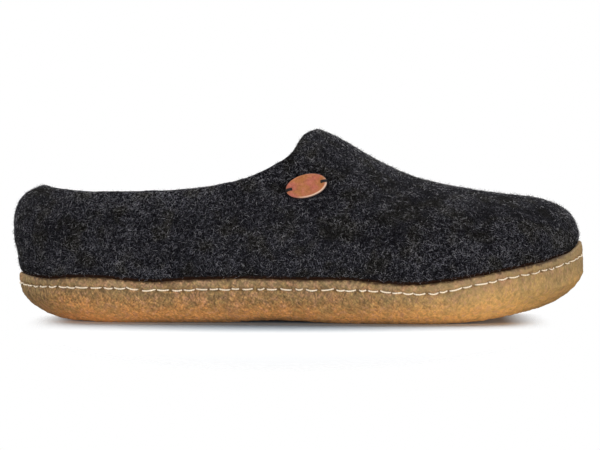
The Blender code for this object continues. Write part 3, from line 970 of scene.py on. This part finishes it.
def crepe_lines(look, rubber, low, lively):
    """Adds the dark streaks below the stitching and the short strokes of pulled rubber."""
    band = look.times(look.remap(low, 0.20, 0.30), look.remap(low, 0.45, 0.80, 1.0, 0.0))
    band = look.times(band, lively)
    for streak in CREPE_STREAKS:
        lines = look.strokes(streak, STREAK_STRETCH, detail=2.0)
        dark = look.times(look.remap(lines, 0.55, 0.66), band)
        rubber = look.mix(look.times(dark, streak.strength), rubber, CREPE_STREAK)
    pulled = look.times(lively, look.remap(low, 0.50, 0.80, 1.0, 0.60))
    for stroke in CREPE_STROKES:
        lines = look.strokes(stroke, CREPE_STROKE_STRETCH)
        tone = look.remap(lines, 0.32, 0.68, 1.0 - stroke.strength, 1.0 + stroke.strength)
        rubber = look.mix(pulled, rubber, tone, blend="MULTIPLY")
    return rubber


def crepe_edges(look, rubber, low, far, crumbs):
    """Adds painted shade: a dark ragged lip at the rim's top under the felt, and along the tread's edge by
    the floor.
    """
    # Painted shade at the rim's top, under the felt
    lip = look.math("ADD", low, look.remap(crumbs, 0.25, 0.75, -0.03, 0.03))
    lip = look.times(look.remap(lip, 0.0, 0.075, 0.85, 0.0), look.remap(far, 0.44, 0.485, 1.0, 0.12))
    rubber = look.mix(lip, rubber, CREPE_LIP_SHADE)
    # Painted shade along the tread's edge by the floor, less towards the ends where the sole lifts
    tread_edge_shade = look.math("ADD", low, look.remap(crumbs, 0.25, 0.75, -0.05, 0.05))
    tread_edge_shade = look.times(look.remap(tread_edge_shade, 0.86, 1.0, 0.0, 0.65), look.remap(far, 0.20, 0.36, 1.0, 0.0))
    return look.mix(tread_edge_shade, rubber, CREPE_TREAD_EDGE_SHADE)


def crepe_look():
    """Natural crepe rubber, crumbly and mottled, calmer towards the toe."""
    look = Look("crepe", Specular_IOR_Level=0.30)
    low = look.value("low")
    along = look.value("along")
    far = look.math("ABSOLUTE", look.math("SUBTRACT", along, 0.5))
    lively = look.remap(along, 0.50, 0.86, 1.0, 0.38)
    crumbs = look.grain(0.0017, detail=2.0, rough=0.6, shift=2.9)
    rubber = crepe_ground(look, low, along, far)
    rubber = look.clouded(rubber, look.grain(0.0075, detail=2.0, shift=14.0), CREPE_BLUSH)
    rubber = look.clouded(rubber, look.grain(0.0023, detail=1.0, shift=18.2), CREPE_SPOTS)
    rubber = look.clouded(rubber, crumbs, CREPE_CRUMBS, lively)
    rubber = crepe_lines(look, rubber, low, lively)
    # Painted shade in the holes where the stitches go in
    rubber = look.mix(look.times(look.value("pit"), 0.70), rubber, CREPE_PIT_SHADE)
    rubber = crepe_edges(look, rubber, low, far, crumbs)
    look.shade(Base_Color=rubber, Roughness=look.remap(crumbs, 0.2, 0.8, 0.75, 0.55))
    look.bump((crumbs, 0.0006))
    return look.material


def thread_look(name, tones):
    """Spun sewing thread."""
    look = Look(name, Roughness=0.7, Specular_IOR_Level=0.3)
    fibres = look.grain(0.0006, detail=3.0)
    look.shade(Base_Color=look.mix(look.remap(fibres, 0.35, 0.65), *tones))
    look.bump((fibres, 0.00012))
    return look.material


def leather_look():
    """Tan vegetable-tanned leather: red clouds, fine grain, a burnished edge and a painted highlight on the
    lower rim.
    """
    look = Look("leather", Specular_IOR_Level=0.45)
    edge = look.value("edge")
    clouds = look.grain(0.0046, detail=3.0, shift=2.2)
    pores = look.grain(0.00060, detail=3.0, rough=0.6, shift=5.5)
    hide = look.mix(look.remap(clouds, 0.36, 0.64), *LEATHER_HIDE)
    hide = look.clouded(hide, look.grain(0.0013, detail=1.0, shift=8.8), LEATHER_FLECKS)
    hide = look.clouded(hide, pores, LEATHER_PORES)
    # Painted highlight along the lower rim
    rim_highlight = look.times(look.remap(edge, 0.86, 0.92), look.remap(look.value("under"), 0.1, 0.9))
    hide = look.mix(look.times(rim_highlight, 0.85), hide, LEATHER_RIM_HIGHLIGHT)
    hide = look.mix(look.remap(edge, 0.95, 1.0, 0.0, 0.80), hide, LEATHER_EDGE)
    look.shade(Base_Color=hide, Roughness=look.remap(pores, 0.3, 0.7, 0.60, 0.42))
    look.bump((clouds, 0.0003), (pores, 0.00020))
    return look.material


def floor_look():
    """Matt white with a painted shadow by the sole's near edge. It fades out under the ends of the toe and
    heel, and farther off, so that the floor has no edge.
    """
    look = Look("floor", Roughness=0.9, Specular_IOR_Level=0.1)
    # Painted shadow: the floor's colour turns blue-grey close to the sole's near edge
    inputs = {0: look.place(stretch=(FLOOR_SHADE_LONG, 1.0, 1.0)), 1: FLOOR_SHADE_CENTRE}
    near = look.add("VectorMath", "Value", inputs, operation="DISTANCE")
    look.shade(Base_Color=look.mix(look.remap(near, *FLOOR_SHADE_REACH), FLOOR_SHADE, FLOOR_COLOUR))
    inputs = {0: look.place(stretch=(FLOOR_NARROW, 1.0, 1.0))}
    away = look.add("VectorMath", "Value", inputs, operation="LENGTH")
    look.shade(Alpha=look.remap(away, FLOOR_SOLID, FLOOR_GONE, 1.0, 0.0))
    return look.material


# Crepe sole

def drawn_in_rows(start, shares, rise=0.0):
    """Rows from a ring towards the middle line, at a height over the tread."""
    rings = [towards_centre(start, share) for share in shares]
    return [lifted(ring, tread_height(ring[:, 0]) + rise) for ring in rings]


def tread_rows():
    """Underside of the sole from the middle out, and its rolled edge up to the side."""
    run = roll_run(EDGE_X)
    flare = heel_flare(EDGE_X)
    tall = rim_height(EDGE_X) - tread_height(EDGE_X) - side_depth(EDGE_X, SIDE_ROWS[0].below)
    rows = drawn_in_rows(sole_ring(run + flare), CENTRE_SHARES)
    for step in range(1, ROLL_STEPS):
        angle = 0.5 * math.pi * step / ROLL_STEPS
        ring = sole_ring(flare + run * (1.0 - math.sin(angle) ** (2.0 / ROLL_POWER)))
        rise = tall * (1.0 - math.cos(angle) ** (2.0 / ROLL_POWER))
        rows.append(lifted(ring, tread_height(ring[:, 0]) + rise))
    return rows


def side_rows():
    """Side of the sole and its rim, as fine rows through the table's."""
    given = np.array(SIDE_ROWS)
    run = lengths_along(given[:, :2])
    at = np.linspace(0.0, run[-1], SIDE_STEPS)
    below, inset, flare = (np.interp(at, run, column) for column in given.T)
    below = softened(below)
    inset = softened(inset)
    edge = lifted(SOLE_EDGE, 0.0)
    waver = RIM_WAVER * lumps(edge, RIM_WAVER_LENGTH) + RIM_CRUMB * lumps(edge, RIM_CRUMB_LENGTH)
    lip = HEEL_LIP * near_heel(EDGE_X, HEEL_FLARE_END)
    top = rim_height(EDGE_X)
    rows = []
    for depth, draw_in, lean in zip(below, inset, flare):
        fade = 1.0 - depth / SIDE_ROWS[0].below
        ring = sole_ring(draw_in + lean * heel_flare(EDGE_X) - lip * fade**2)
        rows.append(lifted(ring, top - side_depth(EDGE_X, depth) + waver * fade))
    return rows


def cup_rows():
    """Inner corner and footbed, under the felt and the insole."""
    return drawn_in_rows(sole_ring(RIM_THICKNESS + heel_flare(EDGE_X)), CUP_SHARES, SOLE_THICKNESS)


def off_stitch(points):
    """Height of points over the line of the stitching."""
    return points[:, 2] - rim_height(points[:, 0], "stitch")


def crepe_relief(points):
    """Rise of the crepe's surface over the plain form, for rows of columns."""
    flat = points.reshape(-1, 3)
    below = rim_height(flat[:, 0]) - flat[:, 2]
    rise = CREPE_LUMP_RISE * lumps(flat, CREPE_LUMP)
    rise += CREPE_GRAIN_RISE * lumps(flat, CREPE_GRAIN, CREPE_GRAIN_SHIFT)
    upright = flat * (1.0, 1.0, STREAK_STRETCH)
    band = ease((below - STREAK_TOP) / STREAK_FADE[0]) * ease((STREAK_END - below) / STREAK_FADE[1])
    rise += STREAK_RISE * band * lumps(upright, STREAK_WIDTH, STREAK_SHIFT)
    rise -= GROOVE_DEPTH * bell(off_stitch(flat), GROOVE_WIDTH)
    rise -= PIT_DEPTH * stitch_pits(points)
    return rise.reshape(points.shape[:2])


def stitch_pits(points):
    """1 in the middle of the pits at the ends of the stitches, for rows of columns."""
    away = np.tile(pit_distance(), len(points))
    return bell(np.hypot(off_stitch(points.reshape(-1, 3)), away), PIT_WIDTH)


def row_normals(points):
    """Outward normals of a grid of rows and columns."""
    up = np.gradient(points, axis=0)
    around = np.roll(points, -1, axis=1) - np.roll(points, 1, axis=1)
    return unit(np.cross(around, up))


def make_sole():
    outer = np.array(tread_rows() + side_rows())
    inner = np.array(cup_rows())
    outer = outer + row_normals(outer) * crepe_relief(outer)[:, :, None]
    outer[:, :, 2] = np.maximum(outer[:, :, 2], 0.0)
    rows = np.concatenate([outer, inner])
    mesh = loft("crepe_sole", rows + TO_FRAME)
    flat = rows.reshape(-1, 3)
    top = rim_height(flat[:, 0])
    set_values(mesh, "low", (top - flat[:, 2]) / np.maximum(top - tread_height(flat[:, 0]), 1e-6))
    set_values(mesh, "along", flat[:, 0] / LENGTH)
    set_values(mesh, "pit", stitch_pits(rows))
    add_piece("crepe_sole", mesh, crepe_look(), replaces="outsole", slot="crepe")


def make_stitches():
    """Two-ply stitches that lie in the groove, sag a little and dive into the rubber at their ends."""
    draw = np.random.default_rng(SEWING_SEED)
    share = np.linspace(0.0, 1.0, STITCH_POINTS)
    up = np.array((0.0, 0.0, 1.0))
    inset = SIDE_ROWS[2].inset + GROOVE_DEPTH - PLY_RADIUS
    groove = lifted(sole_ring(inset), rim_height(EDGE_X, "stitch"))
    lines = []
    sides = []
    for start, end in STITCHES:
        at = start + (end - start) * share
        out = np.column_stack([read_ring(SOLE_OUTWARD, at), np.zeros(STITCH_POINTS)])
        rise = STITCH_TILT * draw.uniform(-1.0, 1.0) * (at - at.mean())
        rise = rise + STITCH_WANDER * draw.uniform(-1.0, 1.0)
        rise = rise - STITCH_SAG * draw.uniform(*STITCH_SAG_SPREAD) * np.sin(math.pi * share)
        dive = STITCH_DIVE * (2.0 * share - 1.0) ** STITCH_DIVE_POWER
        middle = read_ring(groove, at) + up * rise[:, None] - out * dive[:, None]
        turn = 2.0 * math.pi * at / PLY_TWIST
        for half in (0.0, math.pi):
            ply = out * np.cos(turn + half)[:, None] + up * np.sin(turn + half)[:, None]
            lines.append(middle + ply * PLY_OFFSET)
            sides.append(out)
    lines = np.array(lines)
    radii = PLY_RADIUS * (1.0 - TOE_THINNER * near_toe(lines[:, :, 0]))
    mesh = tubes("rim_stitches", lines + TO_FRAME, radii, STITCH_SIDES, np.array(sides))
    add_piece("rim_stitches", mesh, thread_look("thread_cream", CREAM_THREAD))


# Felt upper and its fibres

def facing(points, directions):
    """1 where a direction leads away from the middle of the slipper, -1 where it leads in."""
    core = points.copy()
    core[:, 0] = np.clip(core[:, 0], -CORE_HALF, CORE_HALF)
    core[:, 1] = 0.0
    core[:, 2] = CORE_HEIGHT
    return np.where(((points - core) * directions).sum(axis=1) < 0.0, -1.0, 1.0)


def above_rim(points):
    """Height of points over the sole's rim."""
    return points[:, 2] - rim_height(points[:, 0] - HEEL_X)


def fold_rise(points):
    """Rise of the felt in its folds and hollows."""
    rise = np.zeros(len(points))
    for fold in FOLDS:
        lean = math.radians(fold.lean)
        ahead = points[:, 0] - HEEL_X - fold.along * LENGTH
        up = points[:, 2] - fold.height
        across = ahead * math.cos(lean) - up * math.sin(lean)
        down = ahead * math.sin(lean) + up * math.cos(lean)
        shown = 1.0 if fold.side == 0 else ease(0.5 + fold.side * points[:, 1] / FOLD_FADE)
        rise -= fold.depth * bell(across, fold.across) * bell(down, fold.reach) * shown
    return rise


def zone_tone(points):
    """Share by which the felt is paler in its patches and zones, negative where it is darker. It holds
    painted light just below the collar and painted shade round the tag.
    """
    toward_toe = ease((points[:, 0] - HEEL_X) / LENGTH)
    tone = PATCH_TONE * lumps(points, PATCH_SIZE, PATCH_SHIFT) - TAG_SHADE * tag_shade(points)
    tone += CLUMP_TONE * toward_toe * lumps(points, CLUMP_SIZE, CLUMP_SHIFT)
    for zone in ZONES:
        ahead = points[:, 0] - HEEL_X - zone.along * LENGTH
        tone += zone.pale * bell(ahead, zone.across) * bell(points[:, 2] - zone.height, zone.reach)
    return tone


def soft_rise(points, scales):
    """Rise of soft lumps of several scales."""
    return sum(scale.rise * lumps(points, scale.size, 2.0 * i) for i, scale in enumerate(scales))


def make_felt():
    mesh = smooth_copy("upper")
    points = positions(mesh)
    out = normals(mesh)
    side = facing(points, out)
    above = above_rim(points)
    over = np.maximum(above, 0.0)
    foot = BULGE * bell(above - BULGE_HEIGHT, BULGE_HEIGHT) - TUCK * bell(over, TUCK_HEIGHT)
    free = ease((above + FREE_BELOW) / FREE_HEIGHT)
    rise = (soft_rise(points, FELT_LUMPS) + fold_rise(points)) * free + foot * (side > 0.0)
    set_positions(mesh, points + out * (side * rise)[:, None])
    # Where the felt's crease over the rim gets painted shade
    set_values(mesh, "crease", bell(over, CREASE_SHADE_HEIGHT))
    set_values(mesh, "pale", zone_tone(points))
    set_values(mesh, "along", (points[:, 0] - HEEL_X) / LENGTH)
    return add_piece("felt_upper", mesh, felt_look(), replaces="upper", slot="felt")


def surface_samples(mesh, count, draw):
    """Random points of the felt that show, with their normals. The inside has fewer."""
    mesh.calc_loop_triangles()
    corners = np.empty(len(mesh.loop_triangles) * 3, np.int32)
    mesh.loop_triangles.foreach_get("vertices", corners)
    triangle = positions(mesh)[corners.reshape(-1, 3)]
    cross = np.cross(triangle[:, 1] - triangle[:, 0], triangle[:, 2] - triangle[:, 0])
    centre = triangle.mean(axis=1)
    weight = np.linalg.norm(cross, axis=1)
    weight = np.where(facing(centre, cross) < 0.0, INSIDE_SHARE * weight, weight)
    weight = np.where(above_rim(centre) < FIBRE_CLEARANCE, 0.0, weight)
    picked = draw.choice(len(weight), count, p=weight / weight.sum())
    share = draw.uniform(0.0, 1.0, (2, count, 1))
    share = np.where(share.sum(axis=0) > 1.0, 1.0 - share, share)
    one, two, three = (triangle[picked, k] for k in range(3))
    return one + (two - one) * share[0] + (three - one) * share[1], unit(cross[picked])


def fibre_lines(kind, tree, roots, up, draw):
    """Curly centre lines that follow the felt and lift off it."""
    count = len(roots)
    share = np.linspace(0.0, 1.0, kind.points)
    length = draw.uniform(*kind.length, count)
    heading = draw.uniform(0.0, 2.0 * math.pi, count)[:, None]
    bend = (FIBRE_BEND * length * draw.normal(0.0, 1.0, count) * FIBRE_BEND_SPREAD)[:, None]
    swing = draw.uniform(-FIBRE_SWING, FIBRE_SWING, count)[:, None]
    turn = heading + bend * share + swing * np.sin(2.0 * math.pi * share)
    step = (length / (kind.points - 1))[:, None]
    ahead = np.cumsum(step * np.cos(turn), axis=1) - step * np.cos(turn)
    aside = np.cumsum(step * np.sin(turn), axis=1) - step * np.sin(turn)
    one = unit(np.cross(up, draw.normal(0.0, 1.0, (count, 3))))
    two = np.cross(up, one)
    flat = roots[:, None] + one[:, None] * ahead[:, :, None] + two[:, None] * aside[:, :, None]
    bow = kind.lift * draw.uniform(*FIBRE_LIFT_SPREAD, count)[:, None] * np.sin(math.pi * share)
    tip = kind.tip * draw.uniform(0.0, 1.0, count)[:, None] ** 2 * share**2
    height = bow + tip - FIBRE_ROOT_SINK * (1.0 - share)
    lines = np.empty_like(flat)
    outs = np.empty_like(flat)
    for k in range(count):
        for j in range(kind.points):
            found, normal, _, _ = tree.find_nearest(flat[k, j])
            lines[k, j] = found + normal * height[k, j]
            outs[k, j] = normal
    return lines, outs


def dye_of(kind, roots, draw):
    """Number of each fibre's dye: more pale ones in the pale zones and more dark ones in the dark zones,
    painted light and shade among them.
    """
    dye = draw.choice(len(kind.shares), kind.count, p=kind.shares)
    tone = zone_tone(roots)
    chance = draw.uniform(0.0, 1.0, kind.count)
    darker = (dye < PALE_DYES) & (chance < -DYE_SWAP * tone)
    paler = (dye >= PALE_DYES) & (chance < DYE_SWAP * tone)
    return (dye + PALE_DYES * darker - PALE_DYES * paler).astype(np.int32)


def make_fibres(felt, kind, looks):
    """One lot of wool fibres in the dyes of the blend."""
    draw = np.random.default_rng(kind.seed)
    roots, up = surface_samples(felt.data, kind.count, draw)
    lines, outs = fibre_lines(kind, tree_of(felt), roots, up, draw)
    taper = 1.0 - FIBRE_TAPER * np.abs(np.linspace(-1.0, 1.0, kind.points)) ** 3
    radii = kind.radius * draw.uniform(*FIBRE_RADIUS_SPREAD, kind.count)[:, None] * taper
    mesh = tubes(kind.name, lines, radii, FIBRE_SIDES, outs)
    dye = dye_of(kind, roots, draw)
    side_faces = np.repeat(dye, (kind.points - 1) * FIBRE_SIDES)
    add_piece(kind.name, mesh, *looks, slot="felt")
    mesh.polygons.foreach_set("material_index", np.concatenate([side_faces, dye, dye]))


# Insole and leather tag

def make_insole():
    mesh = smooth_copy("insole")
    points = positions(mesh)
    rise = np.minimum(soft_rise(points, INSOLE_LUMPS), INSOLE_MOST_RISE)
    set_positions(mesh, points + normals(mesh) * rise[:, None])
    add_piece("felt_insole", mesh, insole_look(), replaces="insole", slot="insole_felt")


def tag_axes():
    """Middle of the tag and its directions: along, across and out."""
    points = positions(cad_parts["leather_tag"].data)
    middle = points.mean(axis=0)
    along, across, _ = np.linalg.svd(points - middle, full_matrices=False)[2]
    along = along * np.sign(along[0])
    across = across * np.sign(across[2])
    return middle, along, across, np.cross(along, across)


def tag_place(points):
    """Places on the tag as shares of its half length and half width, with the distance out of it."""
    middle, along, across, out = tag_axes()
    tag = positions(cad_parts["leather_tag"].data) - middle
    off = points - middle
    return off @ along / np.abs(tag @ along).max(), off @ across / np.abs(tag @ across).max(), off @ out


def tag_shade(points):
    """Share of painted shade on the felt close around the tag."""
    ahead, up, out = tag_place(points)
    shade = ease((TAG_SHADE_END - np.hypot(ahead, up)) / (TAG_SHADE_END - 1.0))
    return np.where(np.abs(out) < TAG_SHADE_DEPTH, shade, 0.0)


def make_tag():
    mesh = smooth_copy("leather_tag")
    ahead, up, _ = tag_place(positions(mesh))
    set_values(mesh, "edge", np.hypot(ahead, up))
    set_values(mesh, "under", TAG_DOWN[0] * ahead + TAG_DOWN[1] * up)
    return add_piece("tag_leather", mesh, leather_look(), replaces="leather_tag", slot="leather")


def depth_below(start, out, trees):
    """How far below a point the first surface lies."""
    hits = [tree.ray_cast(Vector(start), Vector(-out)) for tree in trees]
    return min(hit[3] for hit in hits if hit[3] is not None)


def make_tag_thread(tag, felt):
    """Two black threads side by side at each end of the tag, running out to just inside its edge, sunk at
    their ends.
    """
    middle, along, across, out = tag_axes()
    half_length = np.abs((positions(tag.data) - middle) @ along).max()
    trees = (tree_of(tag), tree_of(felt))
    reach = np.linspace(half_length - BAR_START, half_length - BAR_END, BAR_POINTS)
    sink = BAR_SINK * np.abs(np.linspace(-1.0, 1.0, BAR_POINTS)) ** BAR_SINK_POWER
    lines = []
    for end in (-1.0, 1.0):
        for aside in (-0.5, 0.5):
            starts = middle + np.outer(end * reach, along) + across * aside * BAR_SPACING + out * BAR_DROP
            depths = np.array([depth_below(start, out, trees) for start in starts])
            lines.append(softened(starts - np.outer(depths - BAR_RADIUS + sink, out)))
    lines = np.array(lines)
    sides = np.broadcast_to(across, lines.shape)
    mesh = tubes("tag_thread", lines, np.full(lines.shape[:2], BAR_RADIUS), BAR_SIDES, sides)
    add_piece("tag_thread", mesh, thread_look("thread_black", BLACK_THREAD))


# Studio

def make_floor():
    bm = bmesh.new()
    bmesh.ops.create_grid(bm, x_segments=1, y_segments=1, size=0.5 * FLOOR_SIZE)
    floor = add_object("floor", mesh_from(bm, "floor"))
    floor.data.materials.append(floor_look())
    floor.location.x = -FLOOR_BACK


def make_world():
    """White all round: full white where the camera sees it, softer as a light."""
    world = bpy.data.worlds.new("studio")
    world.use_nodes = True
    nodes = world.node_tree.nodes
    links = world.node_tree.links
    background = nodes["Background"]
    background.inputs["Color"].default_value = (1.0, 1.0, 1.0, 1.0)
    path = nodes.new("ShaderNodeLightPath")
    level = nodes.new("ShaderNodeMapRange")
    level.inputs["To Min"].default_value = WORLD_LIGHT
    level.inputs["To Max"].default_value = 1.0
    links.new(path.outputs["Is Camera Ray"], level.inputs["Value"])
    links.new(level.outputs["Result"], background.inputs["Strength"])
    bpy.context.scene.world = world


def point(thing, place, target):
    """Puts a light or camera in its place, looking at a target."""
    thing.location = place
    thing.rotation_euler = (target - thing.location).to_track_quat("-Z", "Y").to_euler()


def add_light(light):
    data = bpy.data.lights.new(light.name, "AREA")
    data.shape = "RECTANGLE"
    data.size, data.size_y = light.size
    data.energy = light.power
    point(add_object(light.name, data), light.place, LIGHT_AIM)


def make_camera():
    data = bpy.data.cameras.new("camera")
    camera = add_object("camera", data)
    point(camera, (AIM.x, -CAMERA_DISTANCE, CAMERA_HEIGHT), AIM)
    data.sensor_width = SENSOR
    data.lens = SENSOR * (AIM - camera.location).length / FRAME_WIDTH
    bpy.context.scene.camera = camera


def set_colours():
    view = bpy.context.scene.view_settings
    view.view_transform = "Standard"
    view.look = "None"


set_colours()
make_floor()
make_world()
for light in LIGHTS:
    add_light(light)
make_camera()
make_sole()
make_stitches()
felt = make_felt()
dyes = [fibre_look(*dye) for dye in DYES]
for kind in FIBRES:
    make_fibres(felt, kind, dyes)
make_insole()
tag = make_tag()
make_tag_thread(tag, felt)
